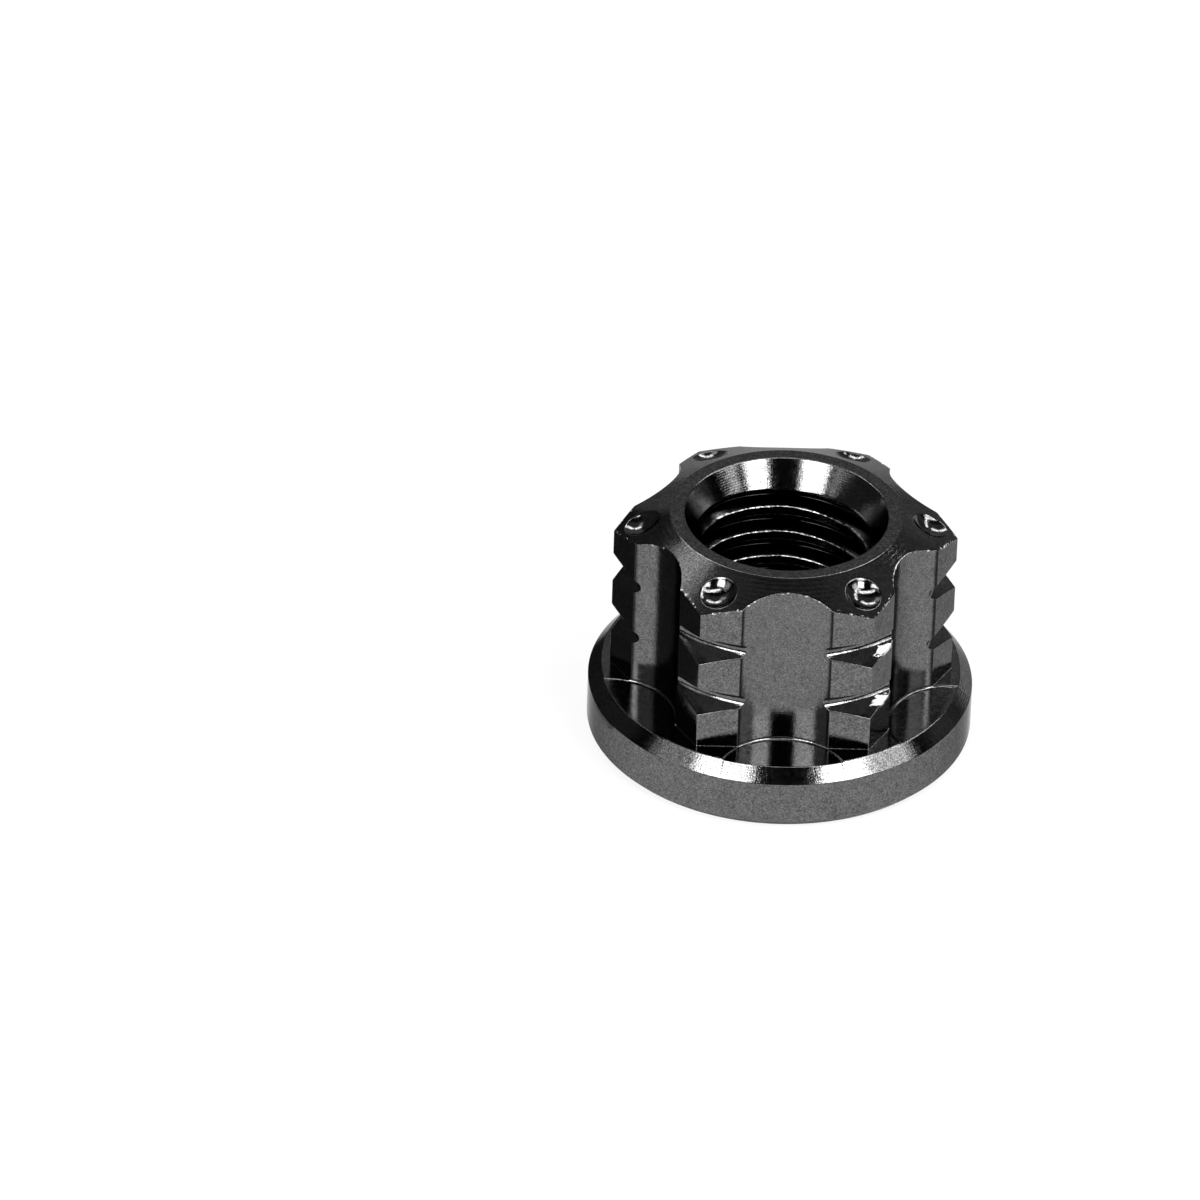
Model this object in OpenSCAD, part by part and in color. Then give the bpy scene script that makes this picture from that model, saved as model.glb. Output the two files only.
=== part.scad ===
// Hex flange nut for an M10 x 1.5 thread, turned and milled from one bar.
// Millimetres, +Z up. The origin is the centre of the seat face, on the axis of the bore.

/* [Hex body] */
// Width across the flats of the hexagon
across_flats = 15; // [14.6:0.1:15.4]
// Height from the seat face to the flat ring at the top
nut_h = 12.5; // [12:0.1:14]
// Outer diameter of the flat ring round the top countersink
top_ring_d = 11.7; // [11:0.1:12.4]
// Slope of the turned top outside the ring, in degrees below level
top_slope = 24; // [15:1:28]

/* [Flange] */
// Diameter of the round flange
flange_d = 19.5; // [19.5:0.1:24]
// Height of the flange's top face above the seat face
flange_h = 3.4; // [2.4:0.1:4]
// Width of the chamfer round the flange's top edge
flange_chamfer_w = 0.65; // [0.3:0.05:0.65]
// Height of the chamfer round the flange's top edge
flange_chamfer_h = 0.75; // [0.3:0.05:1.2]
// Width and height of the chamfer round the flange's bottom edge
seat_chamfer = 0.4; // [0.1:0.05:0.8]

/* [Flutes in the flats] */
// Radius of the upright flute that is milled into each flat
flute_r = 3.45; // [3.2:0.05:3.6]
// Distance from the nut's axis to the axis of each flute
flute_axis_r = 10.1; // [9.9:0.05:10.3]
// Depth that each flute goes below the flange's top face
flute_overcut = 0.05; // [0.02:0.01:0.15]

/* [Turned grooves] */
// Height of the upper groove's middle above the seat face
upper_groove_z = 9.1; // [8.6:0.05:9.4]
// Height of the lower groove's middle above the seat face
lower_groove_z = 6.05; // [5.4:0.05:6.6]
// Diameter at the bottom of both grooves
groove_root_d = 15; // [14.6:0.1:16]
// Angle between the two flanks of a groove, in degrees
groove_angle = 55; // [40:1:65]
// Radius that rounds the bottom of a groove
groove_root_r = 0.35; // [0.1:0.05:0.5]

/* [Dimples in the lobes] */
// Distance from the nut's axis to the middle of each dimple
dimple_axis_r = 7.25; // [7:0.05:7.4]
// Diameter of each dimple's rim, measured along the sloping top
dimple_d = 1.9; // [1.4:0.1:2.1]
// Diameter of the ball-nosed cutter that sinks the dimples
dimple_ball_d = 2.8; // [2.2:0.1:4]

/* [Bore] */
// Minor diameter of the thread, which is the wall of the plain bore
minor_d = 8.5; // [8.4:0.02:8.66]
// Diameter of the countersink where it meets the top ring
top_countersink_d = 10.3; // [9.6:0.1:10.8]
// Depth of the top countersink
top_countersink_h = 1.4; // [0.9:0.1:1.8]
// Diameter of the bore's mouth in the seat face
seat_countersink_d = 10.1; // [9.6:0.1:11]
// Depth of the countersink in the seat face
seat_countersink_h = 0.8; // [0.5:0.1:1.2]

/* [Hidden] */
coating = [0.06, 0.06, 0.065];
sides = 6;
round_fn = 96;
// How far a cutter runs out past the surface that it opens
overshoot = 1;
corner_r = across_flats / 2 / cos(180 / sides);
flange_r = flange_d / 2;
flange_top_r = flange_r - flange_chamfer_w;
flange_wall_h = flange_h - flange_chamfer_h;
top_ring_r = top_ring_d / 2;
// Height of the sloping top at a given distance from the axis
function slope_z(r) = nut_h - (r - top_ring_r) * tan(top_slope);
// Centre of the circle that rounds the groove's bottom, measured out from the axis
groove_round_r = groove_root_d / 2 + groove_root_r;
// Where the round meets a flank, measured from that centre
groove_tangent_in = groove_root_r * sin(groove_angle / 2);
groove_tangent_up = groove_root_r * cos(groove_angle / 2);
// The flank's outer end, clear of the corners of the hexagon
groove_outer_r = corner_r + overshoot;
groove_outer_up = groove_tangent_up
    + (groove_outer_r - groove_round_r + groove_tangent_in) * tan(groove_angle / 2);

// Round blank of the flange, chamfered at both edges
module flange_blank() {
    rotate_extrude($fn = round_fn)
        polygon([
            [0, 0],
            [flange_r - seat_chamfer, 0],
            [flange_r, seat_chamfer],
            [flange_r, flange_wall_h],
            [flange_top_r, flange_h],
            [0, flange_h]
        ]);
}

// Hexagon from the seat face up, with its top turned to the ring and the slope
module hex_blank() {
    intersection() {
        cylinder(r = corner_r, h = nut_h, $fn = sides);
        rotate_extrude($fn = round_fn)
            polygon([
                [0, 0],
                [corner_r + overshoot, 0],
                [corner_r + overshoot, slope_z(corner_r + overshoot)],
                [top_ring_r, nut_h],
                [0, nut_h]
            ]);
    }
}

// Six upright flutes, one in the middle of each flat
module flutes() {
    floor_z = flange_h - flute_overcut;
    for (i = [0 : sides - 1])
        rotate([0, 0, (i + 0.5) * 360 / sides])
            translate([flute_axis_r, 0, floor_z])
                cylinder(r = flute_r, h = nut_h - floor_z + overshoot, $fn = round_fn);
}

// One V-groove with a rounded bottom, turned round the nut's axis at height z
module turned_groove(z) {
    translate([0, 0, z])
        rotate_extrude($fn = round_fn)
            union() {
                polygon([
                    [groove_round_r - groove_tangent_in, -groove_tangent_up],
                    [groove_outer_r, -groove_outer_up],
                    [groove_outer_r, groove_outer_up],
                    [groove_round_r - groove_tangent_in, groove_tangent_up]
                ]);
                translate([groove_round_r, 0])
                    circle(r = groove_root_r, $fn = 32);
            }
}

// Six shallow round dimples, sunk square to the sloping top of each lobe with a ball-nosed cutter
module dimples() {
    // How far the ball's centre stays above the slope, so that the rim has its diameter
    ball_up = sqrt(pow(dimple_ball_d / 2, 2) - pow(dimple_d / 2, 2));
    for (i = [0 : sides - 1])
        rotate([0, 0, i * 360 / sides])
            translate([dimple_axis_r, 0, slope_z(dimple_axis_r)])
                rotate([0, top_slope, 0])
                    translate([0, 0, ball_up])
                        sphere(d = dimple_ball_d, $fn = 48);
}

// Plain bore at the thread's minor diameter, countersunk at both ends
module threaded_bore() {
    top_flare = (top_countersink_d - minor_d) / 2 / top_countersink_h;
    seat_flare = (seat_countersink_d - minor_d) / 2 / seat_countersink_h;
    rotate_extrude($fn = round_fn)
        polygon([
            [0, -overshoot],
            [seat_countersink_d / 2 + overshoot * seat_flare, -overshoot],
            [minor_d / 2, seat_countersink_h],
            [minor_d / 2, nut_h - top_countersink_h],
            [top_countersink_d / 2 + overshoot * top_flare, nut_h + overshoot],
            [0, nut_h + overshoot]
        ]);
}

// The nut is one solid: the blank, less everything that is cut from it
module flange_nut() {
    color(coating)
        difference() {
            union() {
                flange_blank();
                hex_blank();
            }
            flutes();
            turned_groove(upper_groove_z);
            turned_groove(lower_groove_z);
            dimples();
            threaded_bore();
        }
}

flange_nut();
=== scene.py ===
# %% [markdown]
# # A hex flange nut, black coated
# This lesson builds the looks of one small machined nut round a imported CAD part. The CAD part is the frame:
# it says where everything is and how big it is. Here it stays hidden, because its facets are made for
# fitting and for physics, and a glossy black nut shows every facet. A finer skin of the same form takes its
# place.

# %% Load the frame
import math

import bmesh
import bpy
import numpy as np
from mathutils import Matrix, Vector


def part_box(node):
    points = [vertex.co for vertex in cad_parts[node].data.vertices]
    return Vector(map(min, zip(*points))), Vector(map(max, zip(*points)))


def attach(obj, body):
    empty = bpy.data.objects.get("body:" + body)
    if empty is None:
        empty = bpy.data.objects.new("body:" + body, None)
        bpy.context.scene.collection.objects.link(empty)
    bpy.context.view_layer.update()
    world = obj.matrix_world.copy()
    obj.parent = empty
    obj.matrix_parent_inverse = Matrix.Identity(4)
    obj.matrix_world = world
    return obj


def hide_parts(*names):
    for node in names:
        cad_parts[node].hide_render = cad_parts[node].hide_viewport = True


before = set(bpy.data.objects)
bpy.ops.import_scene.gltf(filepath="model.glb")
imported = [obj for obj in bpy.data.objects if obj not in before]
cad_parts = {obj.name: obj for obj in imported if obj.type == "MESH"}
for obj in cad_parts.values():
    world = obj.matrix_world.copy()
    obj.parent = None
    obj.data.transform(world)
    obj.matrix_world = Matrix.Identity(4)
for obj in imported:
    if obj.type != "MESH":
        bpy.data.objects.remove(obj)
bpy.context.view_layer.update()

NODE = "flange_nut"
MM = 0.001
_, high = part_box(NODE)
NUT_H = high.z / MM
FLANGE_R = high.x / MM
print(f"frame: nut {NUT_H:.2f} mm high, flange {2 * FLANGE_R:.2f} mm across")

# %% [markdown]
# ## Sizes
# A machinist would read these off the drawing. All of them are millimetres. The nut's height and the
# flange's radius come from the frame, and the rest are the same real sizes that the CAD part is driven by.

# %% Sizes of the turned and milled forms
SIDES = 6
SIDE_DEG = 360 / SIDES
FLAT_R = 7.5                # half the width across the flats
RING_R = 5.85               # outer radius of the flat ring at the top
TOP_SLOPE = math.tan(math.radians(24))
FLANGE_H = 3.4
CHAMFER_W, CHAMFER_H = 0.65, 0.75
SEAT_CHAMFER = 0.4
FLUTE_R, FLUTE_AXIS = 3.45, 10.1
FLUTE_SUNK = 0.05           # how far the flutes go into the flange's top face
FLUTE_NOSE = 0.15           # corner radius of the flute's cutter
GROOVE_Z = (9.1, 6.05)
GROOVE_ROOT, GROOVE_NOSE = 7.5, 0.35
GROOVE_HALF = math.radians(27.5)
EDGE, SHARP = 0.035, 0.02   # how far a deburred edge is rounded, and an edge that the lathe cut last

RIM_R = FLANGE_R - CHAMFER_W
FLUTE_FLOOR = FLANGE_H - FLUTE_SUNK


def slope_z(r):
    """Height of the turned top: level to the ring's edge, then falling in proportion to the distance
    beyond it."""
    return NUT_H - np.maximum(0.0, r - RING_R) * TOP_SLOPE


def chamfer_r(z):
    """Radius of the flange's chamfer at a height: it grows in proportion to the drop below the flange's
    top."""
    return RIM_R + (FLANGE_H - z) * CHAMFER_W / CHAMFER_H


print(f"sizes: {2 * FLAT_R:.0f} mm across the flats, chamfer from {RIM_R:.2f} to {FLANGE_R:.2f} mm")

# %% [markdown]
# ## The outline from above
# Seen from above, each side of the nut is a straight flat with a flute's arc milled into its middle. One
# half of one side, from the middle of the flute to the corner, is enough: it is mirrored and turned six
# times. The points sit close together where something ends or turns, which is where the groove runs out
# into the flute, at the flute's edge and at the corner, and far apart where nothing happens. Every edge is
# cut back a little, as a tumbled or deburred edge is, because that thin band is what catches the light on a
# real part.

# %% Angles of the outline
def triangle_angle(a, b, opposite):
    """Angle between the sides a and b of a triangle: its cosine is a squared plus b squared less the
    opposite side squared, over twice a times b."""
    return math.acos((a ** 2 + b ** 2 - opposite ** 2) / (2 * a * b))


edge_half = math.sqrt(FLUTE_R ** 2 - (FLUTE_AXIS - FLAT_R) ** 2)
edge_angle = math.asin(edge_half / FLUTE_R)                     # from the flute's axis: its edge
tip_angle = triangle_angle(FLUTE_AXIS, FLUTE_R, GROOVE_ROOT)    # from the flute's axis: where the grooves end
edge_u = math.atan2(edge_half, FLAT_R)                          # from the nut's axis: the flute's edge
rim_u = triangle_angle(FLUTE_AXIS, RIM_R, FLUTE_R)              # from the nut's axis: its arc on the rim
print(f"flute: {2 * edge_half:.2f} mm wide, turned {math.degrees(edge_angle):.1f} degrees at its edge")

# %% Half a side, then the whole outline
ARC_POINTS, TIP_POINTS = 14, 11     # on the flute's arc, up to the grooves' end and from there to the edge
CROWDING = 1.6                      # how strongly the latter crowd towards the grooves' end
FLAT_POINTS = (10, 13)              # on the flat, up to where the flute's arc meets the rim and from there on


def flute_arc(angle):
    """Points on the flute's circle, at an angle about the flute's axis from the line to the nut's axis."""
    return np.column_stack([FLUTE_AXIS - FLUTE_R * np.cos(angle), FLUTE_R * np.sin(angle)])


def parabola(a, p, b, t):
    """Point at the share t of the parabola that leaves a towards p and arrives at b: (1 - t) squared
    times a, twice t times (1 - t) times p, and t squared times b."""
    return (1 - t) ** 2 * a + 2 * t * (1 - t) * p + t ** 2 * b


def half_side():
    """Plan points from the flute's middle to the corner: arc, rounded edge, flat, rounded corner. The
    next side is the mirror image of this one in the line through the corner, 30 degrees round: x cos 60
    + y sin 60, and x sin 60 less y cos 60."""
    last_angle = edge_angle - EDGE / FLUTE_R
    arc = np.concatenate([
        np.linspace(0, tip_angle, ARC_POINTS)[:-1],
        tip_angle + (last_angle - tip_angle) * np.linspace(0, 1, TIP_POINTS) ** CROWDING,
    ])
    edge = np.array([FLAT_R, edge_half])
    corner = np.array([FLAT_R, FLAT_R * math.tan(math.radians(SIDE_DEG / 2))])
    after, before = edge + [0, EDGE], corner - [0, EDGE]
    rim_y = FLAT_R * math.tan(rim_u)
    flat_y = np.concatenate([np.linspace(after[1], rim_y, FLAT_POINTS[0]),
                             np.linspace(rim_y, before[1], FLAT_POINTS[1])[1:]])
    flat = np.column_stack([np.full_like(flat_y, FLAT_R), flat_y])
    cos, sin = math.cos(math.radians(SIDE_DEG)), math.sin(math.radians(SIDE_DEG))
    mirror = np.array([[cos, sin], [sin, -cos]])
    edge_middle = parabola(flute_arc(arc[-1:])[0], edge, after, 0.5)
    corner_middle = parabola(before, corner, mirror @ before, 0.5)
    return np.vstack([flute_arc(arc), edge_middle, flat, corner_middle])


half = half_side()
side = np.vstack([(half[1:-1] * [1, -1])[::-1], half])
PER_SIDE = len(side)
U = np.tile(np.arctan2(side[:, 1], side[:, 0]), SIDES)      # direction from the middle of its own side
WALL = np.tile(np.hypot(side[:, 0], side[:, 1]), SIDES)     # distance of the milled wall from the nut's axis
AZ = U + np.repeat(np.radians(SIDE_DEG * (np.arange(SIDES) + 0.5)), PER_SIDE)
COLS = len(AZ)
IN_FLUTE = np.abs(U) <= edge_u
print(f"outline: {COLS} points, flute edge {math.degrees(edge_u):.2f} degrees from its middle")

# %% [markdown]
# ## The skin's profile
# A lathe cuts profiles, so the skin is built as one: for every point of the outline, a line runs from the
# ring at the top, down the slope, the wall with its two grooves, the flange and the seat. Each corner of
# that line is a key point. Where a feature doesn't reach, as the grooves don't reach the middle of a flute,
# its key points fall together and are welded later. So one grid of rows and columns holds the whole
# outside.

# %% A helper that rounds the profile's corners
# Marks say how a place was cut, for the finish: turned on the lathe, milled, turned inside a groove, or
# sunk
TURNED, MILLED, GROOVE, SUNK = 1.0, 0.0, 0.5, 0.3
MOST_CUT = 0.45             # of the distance to either neighbour
TINY = 1e-9


def rounded_rows(keys):
    """Turns key points into rows. Each key is (r, z, cut, steps, mark). The corner is left at the
    distance cut on both sides and crossed on a parabola in that many steps, and a key without steps is
    one plain row. The cut is never more than MOST_CUT of the way to a neighbour. The mark goes into the
    rows as it is."""
    r = np.array([np.broadcast_to(k[0], COLS) for k in keys], float)
    z = np.array([np.broadcast_to(k[1], COLS) for k in keys], float)
    rows, marks = [], []
    for i, (_, _, cut, steps, mark) in enumerate(keys):
        p = np.stack([r[i], z[i]])
        marks += [mark] * (steps + 1)
        if steps == 0:
            rows.append(p)
            continue
        back, on = [np.stack([r[k], z[k]]) - p for k in (i - 1, i + 1)]
        back_d, on_d = np.hypot(*back), np.hypot(*on)
        d = np.minimum(np.broadcast_to(cut, COLS), MOST_CUT * np.minimum(back_d, on_d))
        a = p + back / np.maximum(back_d, TINY) * d
        b = p + on / np.maximum(on_d, TINY) * d
        rows += [parabola(a, p, b, t) for t in np.linspace(0, 1, steps + 1)]
    return np.array(rows), np.array(marks, float)


print("marks: turned", TURNED, "milled", MILLED, "groove", GROOVE, "sunk", SUNK)

# %% [markdown]
# ## Grooves
# Two V-grooves with a rounded bottom are turned round the nut. The lathe tool only meets the lobes, because
# the flutes lie deeper. At each point of the outline the groove is open up to a half height that depends on
# how far out the wall stands, so the notch is widest at the corner and closes to a point inside the flute.

# %% Key points of one groove
NOSE_MID = GROOVE_ROOT + GROOVE_NOSE                    # radius at which the rounded bottom has its centre
NOSE_UP = GROOVE_NOSE * math.cos(GROOVE_HALF)           # half height at which the round turns into the flank
APEX = NOSE_MID - GROOVE_NOSE / math.sin(GROOVE_HALF)   # radius at which the two flanks would meet
NOSE_SHARES = (1, 0.86, 0.66, 0.44, 0.22)               # half heights of the points on the round, of NOSE_UP


def groove_r(up):
    """Radius of the groove at a height from its middle: a circle's arc at the bottom, then a straight
    flank."""
    arc = NOSE_MID - np.sqrt(np.maximum(GROOVE_NOSE ** 2 - np.minimum(up, NOSE_UP) ** 2, 0))
    return np.where(up <= NOSE_UP, arc, APEX + up / math.tan(GROOVE_HALF))


def groove_keys(z):
    """Key points across the groove: the lip, the flank, the rounded bottom, and the same mirrored. The
    lip is where the flank meets the wall, or else where the round does, and where the wall lies deeper
    there is no groove."""
    bite = np.clip(NOSE_MID - WALL, 0, GROOVE_NOSE)
    on_round = np.where(WALL > GROOVE_ROOT, np.sqrt(np.maximum(GROOVE_NOSE ** 2 - bite ** 2, 0)), 0)
    lip = np.where(groove_r(NOSE_UP) < WALL, (WALL - APEX) * math.tan(GROOVE_HALF), on_round)
    ups = [lip, np.maximum(NOSE_UP, (lip + NOSE_UP) / 2)] + [NOSE_UP * share for share in NOSE_SHARES]
    ups = [np.minimum(up, lip) for up in ups]
    radii = [np.where(up < lip, groove_r(up), WALL) for up in ups]
    roundings = [(EDGE, 2)] + [(0, 0)] * (len(ups) - 1)
    upper = [(r, z + up, *rounding, GROOVE) for r, up, rounding in zip(radii, ups, roundings)]
    lower = [(r, z - up, *rounding, GROOVE) for r, up, rounding in zip(radii, ups, roundings)]
    bottom = (np.where(lip > 0, GROOVE_ROOT, WALL), z, 0, 0, GROOVE)
    return upper + [bottom] + lower[::-1]


print(f"groove: bottom at {GROOVE_ROOT} mm, round up to {NOSE_UP:.2f} mm from its middle")

# %% [markdown]
# ## Flange
# The flute's cutter goes 0.05 mm into the flange's top face and has a small corner radius. So the arc of
# each flute goes on across the flange as a faint step, out to the chamfer, and the foot of each flute is a
# small fillet. The step is found as the place where a ray from the nut's axis meets the flute's circle.

# %% Key points from the foot of the wall to the seat
FOOT_GAP, FOOT_EDGE = 0.02, 0.04    # how far above its fillet the wall ends, and how far the foot is rounded
NOSE_POINTS = 6
MISSED = 1e3                        # a radius far outside the nut, for rays that miss the flute


def cutter_r(inward):
    """Where a ray from the axis meets the flute's circle, made smaller by inward: the near root of the
    quadratic."""
    gap = (FLUTE_R - inward) ** 2 - (FLUTE_AXIS * np.sin(U)) ** 2
    return np.where(gap > 0, FLUTE_AXIS * np.cos(U) - np.sqrt(np.maximum(gap, 0)), MISSED)


def flange_keys():
    """The wall's foot, the cutter's corner as an arc, then the floor, the chamfer, the side and the
    seat. Rays that pass beside the flute's arc spend the arc's rows on the rim's rounded edge instead."""
    start = np.where(IN_FLUTE, 0.0, math.asin(1 - FLUTE_SUNK / FLUTE_NOSE))
    foot_z = np.where(IN_FLUTE, FLUTE_FLOOR + FLUTE_NOSE + FOOT_GAP, FLANGE_H)
    keys = [(WALL, foot_z, np.where(IN_FLUTE, 0, FOOT_EDGE), 2, MILLED)]
    beyond = np.abs(U) > rim_u
    under_rim = FLANGE_H - EDGE
    rim = np.array([[RIM_R - EDGE, FLANGE_H], [RIM_R, FLANGE_H], [chamfer_r(under_rim), under_rim]])
    for t in np.linspace(0, 1, NOSE_POINTS):
        angle = start + (math.pi / 2 - start) * t
        z = FLUTE_FLOOR + FLUTE_NOSE * (1 - np.sin(angle))
        r = np.where(IN_FLUTE & (t == 0), WALL, cutter_r(FLUTE_NOSE * (1 - np.cos(angle))))
        rim_r, rim_z = parabola(*rim, t)
        r = np.where(beyond, rim_r, np.minimum(r, chamfer_r(z)))
        keys.append((r, np.where(beyond, rim_z, z), 0, 0, TURNED))
    rest = [
        (chamfer_r(FLUTE_FLOOR), FLUTE_FLOOR, EDGE, 2),
        (FLANGE_R, FLANGE_H - CHAMFER_H, EDGE, 2),
        (FLANGE_R, SEAT_CHAMFER, EDGE, 2),
        (FLANGE_R - SEAT_CHAMFER, 0.0, EDGE, 2),
        (FLAT_R, 0.0, 0, 0),
    ]
    return keys + [(r, z, cut, steps, TURNED) for r, z, cut, steps in rest]


print(f"flange: the flutes' arcs reach the rim {math.degrees(rim_u):.1f} degrees from their middle")

# %% [markdown]
# ## The whole outside
# Now the key points are strung together, from the ring down to the seat, and turned into one grid. The rows
# begin a little inside the ring's edge, because the ring's flat is joined to the bore later.

# %% All rows of the outside
RING_W = 0.35               # width of the strip of the ring that belongs to this grid
SLOPE_SHARES = np.linspace(0.08, 0.92, 10)      # rows on the slope, from the ring's edge to the wall
ring_keys = [(RING_R - RING_W, NUT_H, 0, 0, TURNED), (RING_R, NUT_H, SHARP, 2, TURNED)]
slope_r = [RING_R + (WALL - RING_R) * share for share in SLOPE_SHARES]
slope_keys = [(r, slope_z(r), 0, 0, TURNED) for r in slope_r]
wall_keys = [(WALL, slope_z(WALL), SHARP, 2, MILLED)]
for z in GROOVE_Z:
    wall_keys += groove_keys(z)
skin_rows, skin_marks = rounded_rows(ring_keys + slope_keys + wall_keys + flange_keys())
skin_r, skin_z = skin_rows[:, 0], skin_rows[:, 1]
skin = np.stack([skin_r * np.cos(AZ), skin_r * np.sin(AZ), skin_z], axis=-1)
ROWS = len(skin)
RING_ROW = 3                                    # last row of the ring's rounded edge
LIP_ROW = RING_ROW + len(SLOPE_SHARES) + 1      # first row of the wall's rounded top edge
print(f"outside: {ROWS} rows of {COLS} points")

# %% [markdown]
# ## Dark lines at the flutes' edges
# Right at its edge a flute's wall is so steep that it mirrors the flute's other wall, and it looks dark
# there. That line tells a viewer that the flat isn't flat all the way. It could be left to the render, but
# it comes and goes with a degree of slope, so the points near the edge carry a shade, which the finish
# paints into the coating's colour: a painted dark reflection.

# %% Shade of every point of the outside
SHADE_W, SHADE_FADE = 0.17, 0.10    # how wide the line is, and the part of that over which it fades
PAST_EDGE = 0.01                    # the rounded edge's middle lies less than this past the edge
ON_WALL = 1e-6


def edge_shades():
    """The shade is what is left of the line's width at the point, over the fade, and at most 1. Only
    points at the wall's own distance from the axis have it, so the grooves cut through the line."""
    gap = edge_half - np.abs(WALL * np.sin(U))
    shade = np.where(gap > -PAST_EDGE, np.clip((SHADE_W - gap) / SHADE_FADE, 0, 1), 0.0)
    return np.where(np.abs(skin_r - WALL) < ON_WALL, shade, 0.0)


skin_shades = edge_shades()
print(f"shade: on {(skin_shades > 0).sum()} of {skin_shades.size} points")

# %% [markdown]
# ## Grids and zips
# A grid of points becomes quads by joining each point to its neighbours in the next row and column. Where
# two rings have different numbers of points, as the bore and the outside have, they are zipped: every short
# side of one ring is joined to the point of the other ring that faces it.

# %% Helpers that join points into faces
def grid_quads(first, rows, cols, shift=0):
    """Quads of a closed grid whose point (i, j) has the number first + i * cols + j. The last column
    joins the first one, shift rows further on."""
    i, j = np.meshgrid(np.arange(rows - 1), np.arange(cols), indexing="ij")
    k = (j + 1) % cols
    step = np.where(j == cols - 1, shift, 0)
    ok = (i + step + 1 < rows) & (i + step >= 0)
    quads = np.stack([i * cols + j, (i + 1) * cols + j, (i + 1 + step) * cols + k, (i + step) * cols + k], -1)
    return first + quads[ok]


def zip_rings(ring_a, az_a, ring_b, az_b):
    """Triangles between two closed rings, both in order of azimuth. A side of ring a goes to the point
    of ring b that is nearest to the side's middle, and a side of ring b goes to the point of a where
    that choice changes."""
    na, nb = len(ring_a), len(ring_b)
    full = 2 * math.pi
    start = az_a[0]
    az_a = start + np.mod(az_a - start, full)
    order = np.argsort(np.mod(az_b - start, full))
    ring_b, az_b = ring_b[order], start + np.mod(az_b - start, full)[order]
    mid_a = (az_a + np.append(az_a[1:], az_a[0] + full)) / 2
    mid_b = (az_b + np.append(az_b[1:], az_b[0] + full)) / 2
    owner = np.searchsorted(mid_b, mid_a)
    from_a = np.stack([ring_a, np.roll(ring_a, -1), ring_b[owner % nb]], -1)
    turn = np.searchsorted(mid_a, mid_b)
    from_b = np.stack([ring_b, ring_a[turn % na], np.roll(ring_b, -1)], -1)
    return np.vstack([from_a, from_b])


outside = grid_quads(0, ROWS, COLS)
print(f"outside: {len(outside)} quads before the dimples are let in")

# %% [markdown]
# ## Dimples
# Every lobe has a shallow bowl, sunk square to the sloping top with a ball-nosed cutter that is larger than
# the bowl. So the bowl is a small cap of a ball whose centre stands above the slope, and it works as a
# concave mirror: it shows the lamps overhead as a small bright frame. The lobe's top is drawn as rays from
# the middle of the dimple: out to the lobe's border, where they meet points that the skin already has, and
# in over the rim and down the bowl.

# %% Rays round each dimple
DIMPLE_AXIS, DIMPLE_R, BALL_R = 7.25, 0.95, 1.4
DIMPLE_TURN = math.radians(1.4)     # they were sunk in a second clamping, a little off the corners
EDGE_COL = int(np.argmin(np.abs(half[:, 1] - (edge_half + EDGE))))
REACH = len(half) - 1 - EDGE_COL    # columns from a corner to the flute's edge
corner_cols = (np.arange(SIDES) + 1) * PER_SIDE - 1


def border_loop():
    """For each lobe, the numbers of the skin's points round its top: the lip, a side, the ring, the
    other side."""
    cols = (corner_cols[:, None] + np.arange(-REACH, REACH + 1)) % COLS
    side_rows = np.arange(RING_ROW + 1, LIP_ROW)
    lip = LIP_ROW * COLS + cols
    far = side_rows[::-1] * COLS + cols[:, -1:]
    ring = RING_ROW * COLS + cols[:, ::-1]
    near = side_rows * COLS + cols[:, :1]
    return np.hstack([lip, far, ring, near])


loops = border_loop()
RAYS = loops.shape[1]
lobe_az = np.radians(SIDE_DEG * (np.arange(SIDES) + 1)) + DIMPLE_TURN
outward = np.column_stack([np.cos(lobe_az), np.sin(lobe_az)])
centres = DIMPLE_AXIS * outward
away = skin.reshape(-1, 3)[loops][..., :2] - centres[:, None]
far_d = np.hypot(away[..., 0], away[..., 1])
heading = away / far_d[..., None]
print(f"dimples: {RAYS} rays each, {far_d.min():.2f} to {far_d.max():.2f} mm long")

# %% The ball and its rim
slope_angle = math.atan(TOP_SLOPE)
ball_up = math.sqrt(BALL_R ** 2 - DIMPLE_R ** 2)    # how far the ball's centre stands off the slope
BALL_OUT = ball_up * math.sin(slope_angle)
BALL_Z = slope_z(DIMPLE_AXIS) + ball_up * math.cos(slope_angle)
HALVINGS = 40
SEARCH = 1.2                                        # the rim is looked for up to this many dimple radii out


def slope_at(d):
    """Height of the sloping top at a distance from the dimple's middle along each ray."""
    place = centres[:, None] + heading * d[..., None]
    return slope_z(np.hypot(place[..., 0], place[..., 1]))


def ball_at(d):
    """Height of the ball's underside there: its centre's height less the root of its radius squared less
    the distance to its centre squared."""
    off = heading * d[..., None] - BALL_OUT * outward[:, None]
    return BALL_Z - np.sqrt(np.maximum(BALL_R ** 2 - (off ** 2).sum(-1), 0))


def rim_distance():
    """Distance along each ray at which the ball leaves the slope, found by halving an interval again and
    again."""
    near, far = np.zeros_like(far_d), np.full_like(far_d, DIMPLE_R * SEARCH)
    for _ in range(HALVINGS):
        middle = (near + far) / 2
        inside = ball_at(middle) < slope_at(middle)
        near, far = np.where(inside, middle, near), np.where(inside, far, middle)
    return near


rim_d = rim_distance()
print(f"dimple rim: {rim_d.min():.2f} to {rim_d.max():.2f} mm from its middle, seen from above")

# %% Rows of the dimples
SLOPE_ROWS = (0.7, 0.4, 0.15, 0.04)     # shares of the way from the rim to the border
RIM_ROWS = (0, 0.33, 0.67, 1)           # shares of the rounded rim
BOWL_ROWS = (0.98, 0.94, 0.88, 0.81, 0.73, 0.64, 0.54, 0.43, 0.32, 0.21, 0.1)   # shares of the bowl's radius


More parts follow.
